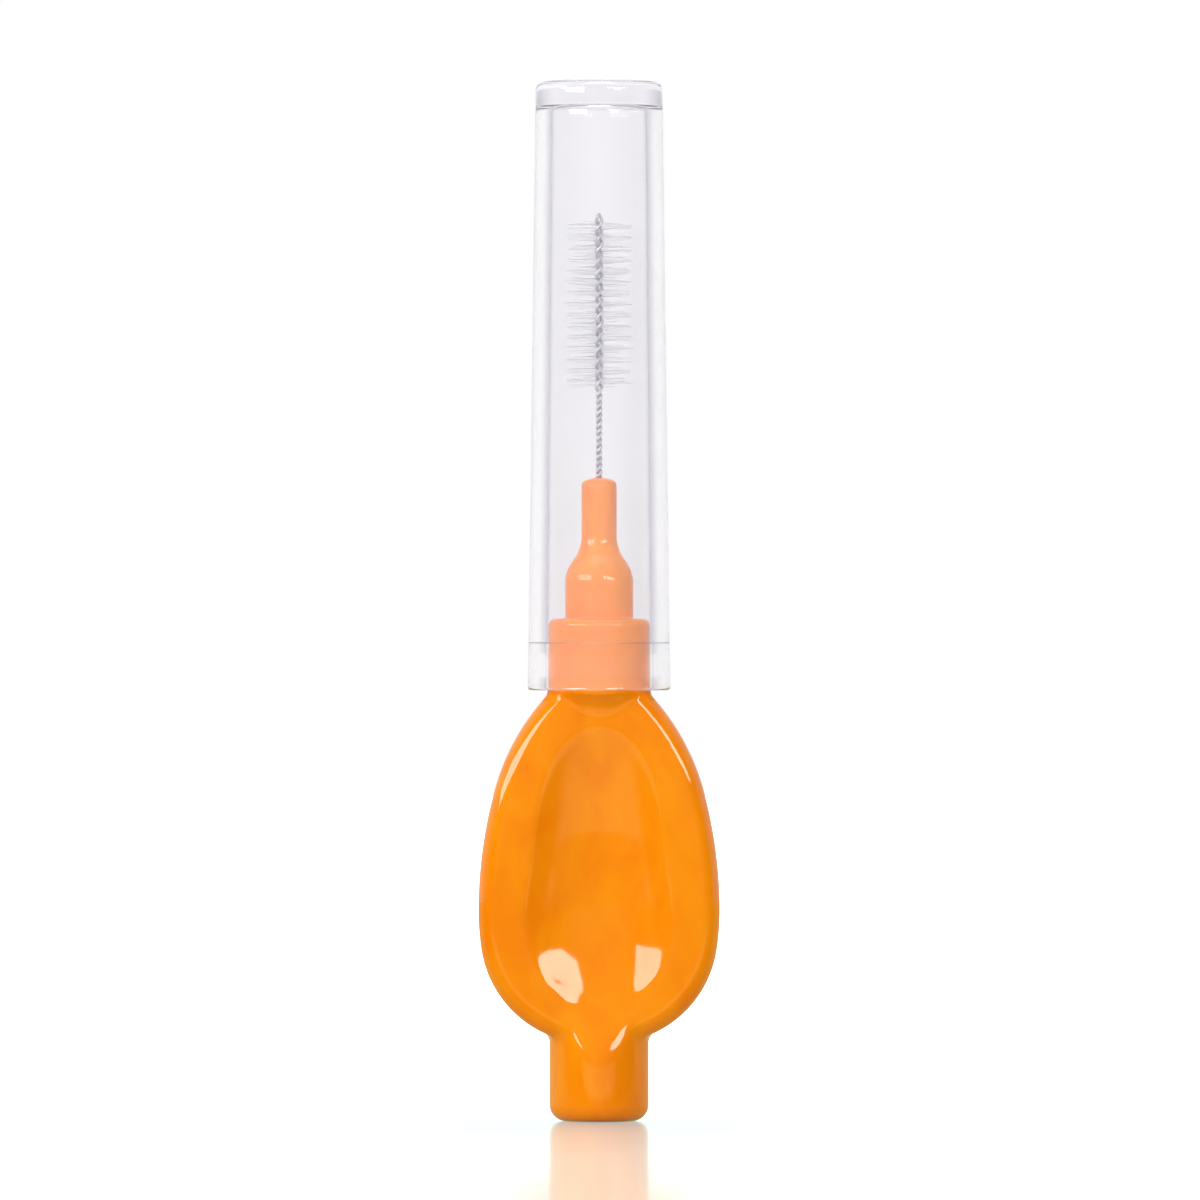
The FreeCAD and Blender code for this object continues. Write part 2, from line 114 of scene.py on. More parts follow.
class HandleSettings(PropertyGroup):
    """Sizes and colours of the one-piece handle"""
    post_radius: length("Post radius", 3.31, "Radius of the round post at the foot")
    post_edge: length("Post edge", 1.1, "Rounding of the foot's rim")
    post_top: height("Post top", 7.1, "Where the post ends inside the paddle")
    half_width: length("Half width", HANDLE_HIGH.x / MM, "Half the paddle's width")
    thickness: length("Thickness", 5.0, "Thickness of the paddle at its rim")
    edge: length("Paddle edge", 1.2, "Rounding of the paddle's edge")
    root_half: length("Root half width", 1.5, "Half the paddle's width inside the post")
    root: height("Root", 5.26, "Lower end of the paddle")
    hip_inset: length("Hip inset", 0.2, "How far the side draws in at the hip")
    hip: height("Hip", 11.45, "Where the side turns under")
    widest: height("Widest", 14.1, "Where the paddle is widest")
    shoulder_inset: length("Shoulder inset", 1.08, "How far the side draws in at the shoulder")
    shoulder: height("Shoulder", 22.1, "Where the side turns in")
    top: height("Paddle top", 28.47, "Where the paddle meets the collar")
    web: length("Web", 2.48, "Thickness between the two dishes")
    dish_radius: length("Dish radius", 10.7, "Radius of the dish across the paddle")
    dish_foot: height("Dish foot", 14.5, "Where the dish starts to rise to its lip")
    dish_foot_bend: length("Dish foot bend", 23.3, "Radius of the dish's lower curve")
    dish_foot_run: length("Dish foot run", 7.6, "Length of the lower curve before it is straight")
    dish_flat_from: height("Dish flat from", 9.2, "Where the dish starts to flatten to its lip")
    dish_lip: height("Dish lip", 4.6, "Lowest place of the dish's lip")
    dish_saddle: share("Dish saddle", 0.5, "How far the dish bends over the round post at its lip")
    dish_head: height("Dish head", 17.8, "Where the dish starts to rise to its top")
    dish_head_bend: length("Dish head bend", 28.0, "Radius of the dish's upper curve")
    dish_waist: height("Dish waist", 12.6, "Where the dish starts to narrow")
    dish_ease: length("Dish ease", 6.9, "Height over which the dish narrows")
    dish_upper_radius: length("Dish upper radius", 8.0, "Radius across the upper dish")
    throat: height("Throat", 25.87, "Where the throat starts to swell to the collar")
    collar_radius: length("Collar radius", 3.4, "Radius of the collar that holds the cap")
    collar_top: height("Collar top", 33.5, "Upper face of the collar")
    collar_edge: length("Collar edge", 0.5, "Rounding of the collar's rim")
    barrel_radius: length("Barrel radius", 2.29, "Radius of the nose above the collar")
    barrel_top: height("Barrel top", 35.8, "Where the nose starts to taper")
    neck_radius: length("Neck radius", 1.18, "Radius of the nose's neck")
    neck_bottom: height("Neck bottom", 39.0, "Where the taper ends")
    neck_top: height("Neck top", 42.2, "Where the neck rounds over")
    neck_edge: length("Neck edge", 0.45, "Rounding of the neck's rim")
    cone_radius: length("Cone radius", 0.35, "Radius of the small cone round the wire")
    hole_radius: length("Hole radius", 0.25, "Radius of the hole that holds the wire")
    hole_bottom: height("Hole bottom", 35.72, "Lower end of the hole that holds the wire")
    root_blend: length("Root blend", 0.5, "Softness where the post meets the paddle")
    throat_blend: length("Throat blend", 0.4, "Softness where the paddle meets the collar")
    lip_blend: length("Lip blend", 0.28, "Softness of the dish's lip")
    rim_blend: length("Rim blend", 0.15, "Softness of the dish's rim")
    body_colour: colour("Orange", 0.865, 0.262, 0.002, "Colour of the moulding")
    flow_colour: colour("Flow orange", 0.825, 0.21, 0.001, "Colour of the darker flow marks")
    roughness: share("Roughness", 0.055, "Roughness of the moulding")


class WireSettings(PropertyGroup):
    """Sizes and colours of the twisted stem"""
    diameter: length("Wire diameter", 0.22, "Diameter of the wire")
    bare_radius: length("Bare radius", 0.12, "Twist radius of the bare stem")
    head_radius: length("Head radius", 0.175, "Twist radius among the bristles")
    bare_pitch: length("Bare pitch", 0.836, "Length of one turn of the bare stem")
    head_pitch: length("Head pitch", 1.482, "Length of one turn among the bristles")
    bend: height("Bend", 60.235, "Where the legs reach the bend at the tip")
    points: whole("Points", 1500, 100, 4000, "Points along the wire")
    steel: colour("Steel", 0.64, 0.64, 0.68, "Colour of the wire")


class BristleSettings(PropertyGroup):
    """Sizes and colours of the bristles"""
    diameter: length("Brush diameter", 4.6, "Diameter across the bristles")
    filament: length("Filament diameter", 0.048, "Diameter of one filament")
    row_height: length("Row height", 0.741, "Height of one row, a half turn of the twist")
    bottom: height("Bottom", 48.87, "Lowest row")
    row_count: whole("Rows", len(ROWS), 1, 40, "Number of rows")
    per_row: whole("Filaments in a row", 10, 2, 60, "Filaments in one row")
    spread: degrees("Spread", 9, "How far filaments stray round the stem")
    tilt: degrees("Tilt", 3, "How far filaments lean along the stem")
    sway: length("Sway", 0.16, "How far the ends of the filaments bend away")
    seed: whole("Seed", 7, 0, 1000, "Which scatter of filaments")
    nylon: colour("Nylon", 0.93, 0.93, 0.95, "Colour of the filaments")


class CapSettings(PropertyGroup):
    """Sizes and colours of the clear cap"""
    rim: height("Rim", CAP_LOW.z / MM, "Lower end of the cap")
    outer_radius: length("Rim radius", CAP_HIGH.x / MM, "Outer radius at the rim")
    outer_top: length("Top radius", 4.229, "Outer radius at the closed end")
    top: height("Top", CAP_HIGH.z / MM, "Closed end")
    crown: length("Crown", 0.6, "Rounding of the closed end")
    rim_edge: length("Rim edge", 0.2, "Rounding of the rim")
    lead_radius: length("Lead radius", 3.56, "Bore radius of the mouth")
    step: height("Step", 31.87, "Where the mouth narrows to the bore")
    bore_radius: length("Bore radius", 3.46, "Bore radius above the step")
    bore_top: length("Bore end radius", 3.122, "Bore radius at its closed end")
    bore_end: height("Bore end", 67.69, "Closed end of the bore")
    bore_corner: length("Bore corner", 0.4, "Rounding at the end of the bore")
    sides: whole("Sides", 144, 24, 400, "Steps round the cap")
    tint: colour("Tint", 0.95, 0.945, 0.955, "Colour of the clear plastic")
    end_tint: colour("End tint", 0.865, 0.85, 0.89, "Colour where the closed end is thick")
    lamp_tint: colour("Lamp tint", 0.81, 0.79, 0.83, "Colour of lamp light that passes the cap")
    clearness: share("Clearness", 0.937, "Share of the light that each surface lets through")


class StageSettings(PropertyGroup):
    """Camera, floor and light"""
    view_height: height("View height", 34.73, "Height of the camera")
    view_distance: length("View distance", 900.0, "Distance of the camera")
    view_side: length("View side", 0.06, "How far the camera stands to the right")
    lens: plain("Lens", 405.0, "Focal length in millimetres", unit="CAMERA")
    floor_reach: length("Floor reach", 1500.0, "Reach of the floor to each side")
    sheet_start: length("Sheet start", 18.0, "Where the bright sheet that mirrors show starts")
    sheet_reach: length("Sheet reach", 150.0, "Reach of the bright sheet in front")
    sheet: level("Sheet", 1.1, "Brightness of the bright sheet")
    sheet_colour: colour("Sheet colour", 1.0, 0.9, 0.5, "Colour of the bright sheet")
    sheet_flare: level("Sheet flare", 0.95, "Growth of the bright sheet's half width to its front")
    floor_back: share("Floor back", 0.8, "Brightness that mirrors show of the floor behind")
    paper: share("Paper", 0.58, "Brightness of the floor")
    foot_white: share("Foot white", 0.7, "Whiteness that the eye sees at the foot of the brush")
    glow: level("Glow", 1.3, "Extra brightness of the floor to the eye")
    mirror: share("Mirror", 0.79, "Share of the floor's light that its strip in front mirrors")
    mirror_colour: colour("Mirror colour", 0.75, 1.0, 0.95, "Colour of that strip")
    mirror_roughness: share("Mirror roughness", 0.13, "Roughness of that strip")
    room: share("Room light", 0.36, "Light that the room gives from the front")
    back_light: share("Back light", 1.0, "Light that the room gives from behind")
    front: share("Room front", 0.04, "Brightness that mirrors show at the sides in front")
    card: share("Card", 0.25, "Brightness that mirrors show round the camera")
    wings: share("Wings", 0.55, "Brightness that clear plastic shows beside the white background")
    wing_colour: colour("Wing colour", 0.78, 0.73, 1.0, "Colour of those dimmer places")


def in_mm(settings):
    """The numbers of a property group, with its lengths in millimetres."""
    numbers = SimpleNamespace()
    for name, prop in settings.bl_rna.properties.items():
        if prop.type in {"FLOAT", "INT"}:
            number = getattr(settings, name)
            setattr(numbers, name, number / MM if prop.unit == "LENGTH" else number)
    return numbers


# Meshes from rings of points

def mesh_from_rings(name, rings):
    """A closed mesh through rings of points, each ring alike in number or a single pole."""
    points = np.concatenate(rings) * MM
    starts = np.cumsum([0] + [len(ring) for ring in rings]).tolist()
    faces = []
    for low, high, end in zip(starts, starts[1:], starts[2:]):
        low_count, high_count = high - low, end - high
        count = max(low_count, high_count)
        for here in range(count):
            after = (here + 1) % count
            if low_count == 1:
                faces.append((low, high + after, high + here))
            elif high_count == 1:
                faces.append((low + here, low + after, high))
            else:
                faces.append((low + here, low + after, high + after, high + here))
    mesh = bpy.data.meshes.new(name)
    mesh.from_pydata(points.tolist(), [], faces)
    mesh.shade_smooth()
    mesh.update()
    return mesh


def rounded(corners, arc_steps=10, longest=0.6):
    """A profile line through (radius, height, rounding) corners, in short steps."""
    line = []
    for index, (radius, up, bend) in enumerate(corners):
        here = np.array((radius, up))
        if bend == 0 or index in (0, len(corners) - 1):
            line.append(here)
            continue
        before = np.array(corners[index - 1][:2]) - here
        after = np.array(corners[index + 1][:2]) - here
        before /= np.linalg.norm(before)
        after /= np.linalg.norm(after)
        half = math.acos(np.clip(before @ after, -1, 1)) / 2
        middle = (before + after) / np.linalg.norm(before + after)
        centre = here + middle * bend / math.sin(half)
        first = here + before * bend / math.tan(half) - centre
        last = here + after * bend / math.tan(half) - centre
        turn = math.acos(np.clip(first @ last / bend ** 2, -1, 1))
        for step in np.linspace(0, 1, arc_steps + 1):
            spoke = first * math.sin((1 - step) * turn) + last * math.sin(step * turn)
            line.append(centre + spoke / math.sin(turn))
    fine = [line[0]]
    for start, end in zip(line, line[1:]):
        steps = max(1, int(np.linalg.norm(end - start) / longest))
        fine += [start + (end - start) * (n + 1) / steps for n in range(steps)]
    return fine


# The handle's rule

def soft_min(one, other, blend):
    """The smaller of two distances, with a soft change between them."""
    near = np.clip(blend - np.abs(one - other), 0, None) / blend
    return np.minimum(one, other) - near * near * blend / 4


class SideOfPaddle:
    """Two tangent arcs of the paddle's outline, from its widest place to one end."""

    def __init__(self, widest, joint, end):
        widest, joint, end = map(np.array, (widest, joint, end))
        inset = widest[0] - joint[0]
        rise = joint[1] - widest[1]
        self.first_bend = (inset ** 2 + rise ** 2) / (2 * inset)
        self.first_centre = widest - np.array((self.first_bend, 0))
        inward = self.first_centre - joint
        inward /= np.linalg.norm(inward)
        chord = end - joint
        self.second_bend = chord @ chord / (2 * chord @ inward)
        self.second_centre = joint + inward * self.second_bend
        along = np.array((-inward[1], inward[0]))
        self.along = along if along @ chord > 0 else -along
        self.joint = joint
        self.up = rise > 0

    def distance(self, x, z):
        """Distance outside the outline, in the paddle's own plane."""
        past = (x - self.joint[0]) * self.along[0] + (z - self.joint[1]) * self.along[1] > 0
        first = np.hypot(x - self.first_centre[0], z - self.first_centre[1]) - self.first_bend
        second = np.hypot(x - self.second_centre[0], z - self.second_centre[1]) - self.second_bend
        return np.where(past, second, first)

    def half_width(self, z):
        """Half the paddle's width at a height."""
        past = z > self.joint[1] if self.up else z < self.joint[1]
        bend = np.where(past, self.second_bend, self.first_bend)
        across = np.where(past, self.second_centre[0], self.first_centre[0])
        up = np.where(past, self.second_centre[1], self.first_centre[1])
        return across + np.sqrt(np.clip(bend ** 2 - (z - up) ** 2, 0, None))


class HandleRule:
    """Distance outside the handle, from the foot to the collar, in millimetres."""
    collar_root = 1.5
    steepest_side = 1.5
    steepest_head = 0.9

    def __init__(self, size):
        self.size = size
        widest = (size.half_width, size.widest)
        self.lower = SideOfPaddle(
            widest, (size.half_width - size.hip_inset, size.hip), (size.root_half, size.root)
        )
        self.upper = SideOfPaddle(
            widest, (size.half_width - size.shoulder_inset, size.shoulder),
            (size.collar_radius, size.top),
        )

    def half_width(self, z):
        """Half the handle's width at a height."""
        size = self.size
        paddle = np.where(
            z > size.widest, self.upper.half_width(z), self.lower.half_width(z)
        )
        round_part = np.where(z > size.widest, size.collar_radius, size.post_radius)
        covered = (z > size.root) & (z < size.top)
        ends = (z < size.post_top) | (z > size.top - self.collar_root)
        return np.maximum(np.where(covered, paddle, 0), np.where(ends, round_part, 0))

    def dish(self, x, y, z):
        """Distance outside the front dish, which is spoon-shaped: round across and along."""
        size = self.size
        drop = np.clip(size.dish_foot - z, 0, size.dish_foot_run)
        climb = np.clip(z - size.dish_head, 0, size.dish_head_bend * self.steepest_head)
        upright = np.sqrt(size.dish_foot_bend ** 2 - drop ** 2)
        run_out = np.clip(size.dish_foot - size.dish_foot_run - z, 0, None)
        foot = size.dish_foot_bend - upright + run_out * drop / upright
        head = size.dish_head_bend - np.sqrt(size.dish_head_bend ** 2 - climb ** 2)
        narrow = np.clip((z - size.dish_waist) / size.dish_ease, 0, 1)
        narrow = narrow * narrow * (3 - 2 * narrow)
        radius = size.dish_radius - foot - (size.dish_radius - size.dish_upper_radius) * narrow
        flat = np.clip((size.dish_flat_from - z) / (size.dish_flat_from - size.dish_lip), 0, 1)
        bend = 1 - (1 + size.dish_saddle) * flat * flat * (3 - 2 * flat)
        bowl = (x ** 2 / (2 * radius) + x ** 4 / (8 * radius ** 3)) * bend
        steep = np.hypot(1, np.minimum(np.abs(x) / radius, self.steepest_side))
        lean = np.hypot(1, drop / upright)
        return (size.web / 2 + foot + head + bowl - np.abs(y)) / (steep * lean)

    def __call__(self, x, y, z):
        size = self.size
        out = np.hypot(x, y)
        outline = np.where(
            z > size.widest, self.upper.distance(x, z), self.lower.distance(x, z)
        )
        beside = outline + size.edge
        before = np.abs(y) - size.thickness / 2 + size.edge
        paddle = (
            np.hypot(np.clip(beside, 0, None), np.clip(before, 0, None))
            + np.minimum(np.maximum(beside, before), 0) - size.edge
        )
        post = np.maximum(out - size.post_radius, z - size.post_top)
        climb = (size.collar_radius - size.web / 2) / (size.top - size.throat)
        cone = (out - size.web / 2 - (z - size.throat) * climb) / math.hypot(1, climb)
        collar = np.maximum(cone, out - size.collar_radius)
        solid = soft_min(paddle, post, size.root_blend)
        ease = np.clip((z - size.root) / (size.dish_foot - size.root), 0, 1)
        blend = size.lip_blend + (size.rim_blend - size.lip_blend) * ease
        dished = -soft_min(-solid, self.dish(x, y, z), blend)
        return soft_min(dished, collar, size.throat_blend)


def fan_columns(flat_steps, fan_steps):
    """Turn of the ray of each column, and its start as a share of the flat part."""
    steps = np.arange(flat_steps + fan_steps + 1)
    turn = np.clip((steps - flat_steps) / fan_steps, 0, 1) * math.pi / 2
    return turn, np.clip(steps / flat_steps, 0, 1)


def skin_rows(rule, heights, flat_steps, fan_steps, reach):
    """Rings of points on a rule's surface, found along rays from the middle plane outwards.

    Each quarter has rays square to the plane out to a little short of the side, then a fan.
    """
    narrowest, longest_ray, halvings = 0.1, 7.0, 40
    z = np.array(heights)[:, None]
    turn, outward = fan_columns(flat_steps, fan_steps)
    start = np.maximum(rule.half_width(z) - reach, narrowest) * outward
    near = np.zeros_like(start)
    far = np.full_like(start, longest_ray)
    for _ in range(halvings):
        middle = (near + far) / 2
        inside = rule(start + middle * np.sin(turn), middle * np.cos(turn), z) < 0
        near = np.where(inside, middle, near)
        far = np.where(inside, far, middle)
    x = start + near * np.sin(turn)
    y = near * np.cos(turn)
    y[:, -1] = 0
    x[:, 0] = 0
    return [at_height(ring_of_quarters(*row), up) for *row, up in zip(x, y, heights)]


def ring_of_quarters(x, y):
    """A whole ring from one quarter that runs from the front to the side."""
    across = np.concatenate((x, x[-2::-1], -x[1:], -x[-2:0:-1]))
    through = np.concatenate((-y, y[-2::-1], y[1:], -y[-2:0:-1]))
    return np.column_stack((across, through))


def at_height(ring, up):
    """A flat ring brought to a height."""
    return np.column_stack((ring, np.full(len(ring), up)))


def unit_ring(flat_steps, fan_steps, inner_share):
    """A ring of radius 1 with the same columns as the skin's rings."""
    turn, outward = fan_columns(flat_steps, fan_steps)
    start = inner_share * outward
    along = start * np.sin(turn)
    distance = -along + np.sqrt(along ** 2 + 1 - start ** 2)
    x = start + distance * np.sin(turn)
    y = distance * np.cos(turn)
    x[0] = 0
    y[-1] = 0
    return ring_of_quarters(x, y)


def turned_rows(profile, unit):
    """A ring of radius 1 brought to each radius and height of a profile, with poles on the axis."""
    on_axis, pole = 1e-6, np.zeros((1, 2))
    return [at_height(pole if radius < on_axis else unit * radius, up) for radius, up in profile]


def handle_mesh(size):
    """The handle's mesh: a turned foot, the skinned paddle and a turned collar and nose."""
    flat_steps, fan_steps, reach = 26, 44, 2.2
    skin_from, skin_to, seam = 2.4, 29.4, 0.12
    lip_from, lip_to, throat_from = 4.0, 7.6, 24.0
    barrel_fillet, cone_edge, hole_edge = 0.12, 0.06, 0.02
    taper_steps = 12
    heights = np.concatenate((
        np.linspace(skin_from, lip_from, 12, endpoint=False),
        np.linspace(lip_from, lip_to, 84, endpoint=False),
        np.linspace(lip_to, throat_from, 94, endpoint=False),
        np.linspace(throat_from, skin_to, 46),
    ))
    foot = rounded([
        (0, 0, 0),
        (size.post_radius, 0, size.post_edge),
        (size.post_radius, skin_from - seam, 0),
    ], arc_steps=14)
    step = (size.barrel_radius - size.neck_radius) / 2
    half = (size.neck_bottom - size.barrel_top) / 2
    taper_bend = (step ** 2 + half ** 2) / (2 * step)
    taper = []
    for n in range(1, 2 * taper_steps + 1):
        rise = half * n / taper_steps
        if rise <= half:
            radius = size.barrel_radius - taper_bend + math.sqrt(taper_bend ** 2 - rise ** 2)
        else:
            rest = 2 * half - rise
            radius = size.neck_radius + taper_bend - math.sqrt(taper_bend ** 2 - rest ** 2)
        taper.append((radius, size.barrel_top + rise))
    nose = rounded([
        (size.collar_radius, skin_to + seam, 0),
        (size.collar_radius, size.collar_top, size.collar_edge),
        (size.barrel_radius, size.collar_top, barrel_fillet),
        (size.barrel_radius, size.barrel_top, 0),
    ])
    tip_up = size.neck_top + size.neck_edge
    cone_up = HANDLE_HIGH.z / MM
    tip = rounded([
        taper[-1] + (0,),
        (size.neck_radius, tip_up, size.neck_edge),
        (size.cone_radius, cone_up, cone_edge),
        (size.hole_radius, cone_up, hole_edge),
        (size.hole_radius, size.hole_bottom, 0),
        (0, size.hole_bottom, 0),
    ])
    foot_ring = unit_ring(flat_steps, fan_steps, 1 - reach / size.post_radius)
    collar_ring = unit_ring(flat_steps, fan_steps, 1 - reach / size.collar_radius)
    rings = turned_rows(foot, foot_ring)
    rings += skin_rows(HandleRule(size), heights, flat_steps, fan_steps, reach)
    rings += turned_rows(nose + taper + tip[1:], collar_ring)
    return mesh_from_rings("handle_moulding", rings)


# Geometry-node trees

SOCKETS = {float: "NodeSocketFloat", int: "NodeSocketInt", bpy.types.Material: "NodeSocketMaterial"}


def connect(item, place):
    """Links a field to a socket, or sets the socket to a number."""
    if isinstance(item, Field):
        place.id_data.links.new(item.socket, place)
    else:
        place.default_value = item


class Field:
    """An output of a node that plain arithmetic joins with others."""

    def __init__(self, socket):
        self.socket = socket

    def output(self, label):
        """Another output of the same node."""
        return Field(self.socket.node.outputs[label])

    def do(self, operation, *others):
        """Arithmetic with other fields or numbers."""
        node = self.socket.id_data.nodes.new("ShaderNodeMath")
        node.operation = operation
        for place, item in zip(node.inputs, (self, *others)):
            connect(item, place)
        return Field(node.outputs[0])

    __add__ = partialmethod(do, "ADD")
    __sub__ = partialmethod(do, "SUBTRACT")
    __mul__ = partialmethod(do, "MULTIPLY")
    __truediv__ = partialmethod(do, "DIVIDE")


class Tree:
    """A geometry-node tree that is being built, with its named inputs."""

    def __init__(self, name, inputs):
        self.tree = bpy.data.node_groups.new(name, "GeometryNodeTree")
        self.inputs = {}
        face = self.tree.interface
        for label, item in inputs.items():
            socket = face.new_socket(label, in_out="INPUT", socket_type=SOCKETS[type(item)])
            self.inputs[socket.identifier] = item
        face.new_socket("Geometry", in_out="OUTPUT", socket_type="NodeSocketGeometry")
        self.given = self.tree.nodes.new("NodeGroupInput")

    def input(self, label):
        return Field(self.given.outputs[label])

    def node(self, kind, settings=None, **inputs):
        """The first output of a new node, with its inputs by name and underscores for spaces."""
        node = self.tree.nodes.new(kind)
        for key, setting in (settings or {}).items():
            setattr(node, key, setting)
        for key, item in inputs.items():
            connect(item, node.inputs[key.replace("_", " ")])
        return Field(node.outputs[0])

    def vector(self, x=0.0, y=0.0, z=0.0):
        return self.node("ShaderNodeCombineXYZ", X=x, Y=y, Z=z)

    def tube(self, curve, diameter, sides):
        """A closed tube round a curve."""
        ring = self.node("GeometryNodeCurvePrimitiveCircle", Resolution=sides, Radius=diameter / 2)
        return self.node("GeometryNodeCurveToMesh", Curve=curve, Profile_Curve=ring, Fill_Caps=True)

    def finish(self, geometry):
        """Realizes what is instanced, gives it the material and ends the tree."""
        real = self.node("GeometryNodeRealizeInstances", Geometry=geometry)
        smooth = self.node("GeometryNodeSetShadeSmooth", Geometry=real)
        painted = self.node(
            "GeometryNodeSetMaterial", Geometry=smooth, Material=self.input("Material")
        )
        connect(painted, self.tree.nodes.new("NodeGroupOutput").inputs[0])


def leg_angle(tree, up):
    """Angle of the first leg round the stem at a height: none where the bristles start."""
    head_pitch = tree.input("Head pitch")
    quarter = tree.input("Head height") - head_pitch / 4
    above = (up - quarter).do("MAXIMUM", 0.0)
    below = (quarter - up).do("MAXIMUM", 0.0)
    turns = above / head_pitch - below / tree.input("Bare pitch")
    return turns * math.tau - math.pi / 2


def wire_tree(inputs):
    """Up one leg of the twist, round the bend at the tip and down the other leg."""
    wire_sides = 10
    tree = Tree("Twisted wire", inputs)
    given = tree.input
    line = tree.node("GeometryNodeCurvePrimitiveLine")
    path = tree.node("GeometryNodeResampleCurve", Curve=line, Count=given("Points"))
    along = tree.node("GeometryNodeSplineParameter").output("Factor")
    head_radius, bend = given("Head radius"), given("Bend height")
    quarter = head_radius * (math.pi / 2)
    leg = bend - given("Foot height") + quarter
    from_tip = (along * 2.0 - 1.0).do("ABSOLUTE") * leg
    turn = (from_tip / quarter).do("MINIMUM", 1.0) * (math.pi / 2)
    down = (from_tip - quarter).do("MAXIMUM", 0.0)
    up = bend + head_radius * turn.do("COSINE") - down
    on_leg = up.do("MINIMUM", bend)
    opening = tree.node(
        "ShaderNodeMapRange", {"interpolation_type": "SMOOTHSTEP"}, Value=on_leg,
        From_Min=given("Head height") - given("Head pitch") / 4, From_Max=given("Head height"),
        To_Min=given("Bare radius"), To_Max=head_radius,
    )
    radius = opening * turn.do("SINE")
    angle = leg_angle(tree, on_leg) + along.do("GREATER_THAN", 0.5) * math.pi
    place = tree.vector(radius * angle.do("COSINE"), radius * angle.do("SINE"), up)
    twisted = tree.node("GeometryNodeSetPosition", Geometry=path, Position=place)
    tree.finish(tree.tube(twisted, given("Wire diameter"), wire_sides))
    return tree


def bristle_tree(inputs):
    """Filaments across the stem, square to the legs, each with a little stray of its own."""
    shortest_share, filament_points, filament_sides = 0.93, 9, 5
    waves_per_metre = 900.0
    tree = Tree("Bristles", inputs)
    given = tree.input

    def stray(low, high, salt):
        """A number between two bounds that differs for each filament."""
        drawn = tree.node(
            "FunctionNodeRandomValue", {"data_type": "FLOAT"}, Seed=given("Seed") + salt
        )
        node = drawn.socket.node
        bounds = {"Min": low, "Max": high}
        for place in node.inputs:
            if place.type == "VALUE" and place.name in bounds:
                connect(bounds[place.name], place)
        return Field(next(place for place in node.outputs if place.type == "VALUE"))

    step = given("Step")
    points = tree.node(
        "GeometryNodeMeshLine", Count=given("Count"), Offset=tree.vector(z=step),
        Start_Location=tree.vector(z=given("Head height") + step / 2),
    )
    half = given("Brush diameter") / 2
    line = tree.node(
        "GeometryNodeCurvePrimitiveLine", Start=tree.vector(half * -1.0), End=tree.vector(half)
    )
    fine = tree.node("GeometryNodeResampleCurve", Curve=line, Count=filament_points)
    filament = tree.tube(fine, given("Filament diameter"), filament_sides)
    spot = tree.node("GeometryNodeInputPosition")
    place = tree.node("ShaderNodeSeparateXYZ", Vector=spot)
    spread, tilt = given("Spread"), given("Tilt")
    angle = leg_angle(tree, place.output("Z")) + math.pi / 2
    angle = angle + stray(spread * -1.0, spread, 1)
    turned = tree.node(
        "FunctionNodeEulerToRotation", Euler=tree.vector(0.0, stray(tilt * -1.0, tilt, 2), angle)
    )
    rows = tree.node(
        "GeometryNodeInstanceOnPoints", Points=points, Instance=filament, Rotation=turned,
        Scale=tree.vector(stray(shortest_share, 1.0, 3), 1.0, 1.0),
    )
    loose = tree.node("GeometryNodeRealizeInstances", Geometry=rows)
    across, through = place.output("X"), place.output("Y")
    out_share = (across * across + through * through) / (half * half)
    wander = tree.node("ShaderNodeTexNoise", Vector=spot, Scale=waves_per_metre, Detail=1.0)
    shift = tree.node(
        "ShaderNodeVectorMath", {"operation": "SUBTRACT"}, Vector=wander.output("Color")
    )
    shift.socket.node.inputs[1].default_value = (0.5, 0.5, 0.5)
    bend = tree.node(
        "ShaderNodeVectorMath", {"operation": "SCALE"}, Vector=shift,
        Scale=out_share * given("Sway"),
    )
    tree.finish(tree.node("GeometryNodeSetPosition", Geometry=loose, Offset=bend))
    return tree


def mesh_from_tree(name, tree):
    """An object with the plain mesh that a tree makes from its inputs."""
    holder = bpy.data.objects.new(name, bpy.data.meshes.new(name))
    bpy.context.scene.collection.objects.link(holder)
    modifier = holder.modifiers.new("Shape", "NODES")
    modifier.node_group = tree.tree
    for identifier, item in tree.inputs.items():
        modifier[identifier] = item
    graph = bpy.context.evaluated_depsgraph_get()
    mesh = bpy.data.meshes.new_from_object(holder.evaluated_get(graph))
    holder.modifiers.remove(modifier)
    holder.data = mesh
    if not mesh.polygons:
        raise RuntimeError(f"{name} came out empty")
    return holder


# Finishes

